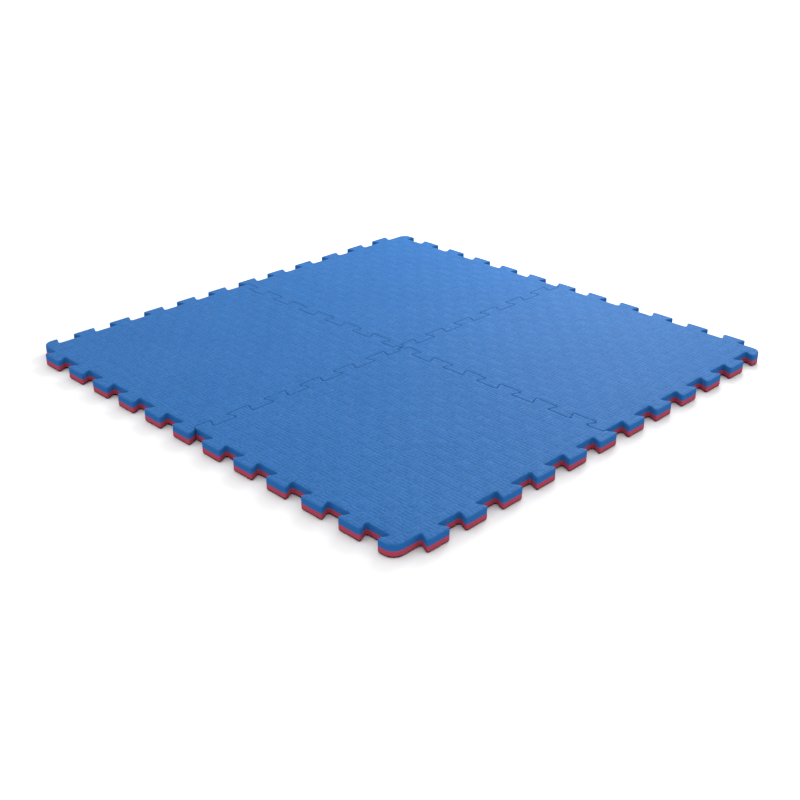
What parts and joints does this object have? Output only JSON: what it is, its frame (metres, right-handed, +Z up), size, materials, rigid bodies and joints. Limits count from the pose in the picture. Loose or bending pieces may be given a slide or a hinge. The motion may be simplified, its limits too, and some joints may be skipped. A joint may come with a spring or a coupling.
{
  "type": "interlocking foam blocking mats",
  "caption": "Square puzzle-edge EVA foam tiles, blue over red, locked together by dovetail teeth into one flat mat for pinning out knitting.",
  "frame": {"origin": "the underside, at the centre of the set where the four tiles meet", "axes": "+Z up through the tiles' thickness; X and Y along the edges, with the front tile in the -X -Y quarter"},
  "size_m": [0.622, 0.622, 0.015],
  "materials": {
    "blue_foam": "matt closed-cell EVA foam, embossed with a basket weave of short ribs",
    "red_foam": "matt closed-cell EVA foam, die-cut edge"
  },
  "bodies": {
    "front_tile": {"front_tile_red_base_sheet": "red_foam", "front_tile_blue_top_sheet": "blue_foam"},
    "right_tile": {"right_tile_red_base_sheet": "red_foam", "right_tile_blue_top_sheet": "blue_foam"},
    "back_tile": {"back_tile_red_base_sheet": "red_foam", "back_tile_blue_top_sheet": "blue_foam"},
    "left_tile": {"left_tile_red_base_sheet": "red_foam", "left_tile_blue_top_sheet": "blue_foam"}
  },
  "joints": [
    {"name": "right_tile_lift_out", "type": "slide", "parent": "front_tile", "child": "right_tile", "axis": [0, 0, 1], "range_m": [0, 0.03]},
    {"name": "back_tile_lift_out", "type": "slide", "parent": "front_tile", "child": "back_tile", "axis": [0, 0, 1], "range_m": [0, 0.03]},
    {"name": "left_tile_lift_out", "type": "slide", "parent": "front_tile", "child": "left_tile", "axis": [0, 0, 1], "range_m": [0, 0.03]}
  ]
}
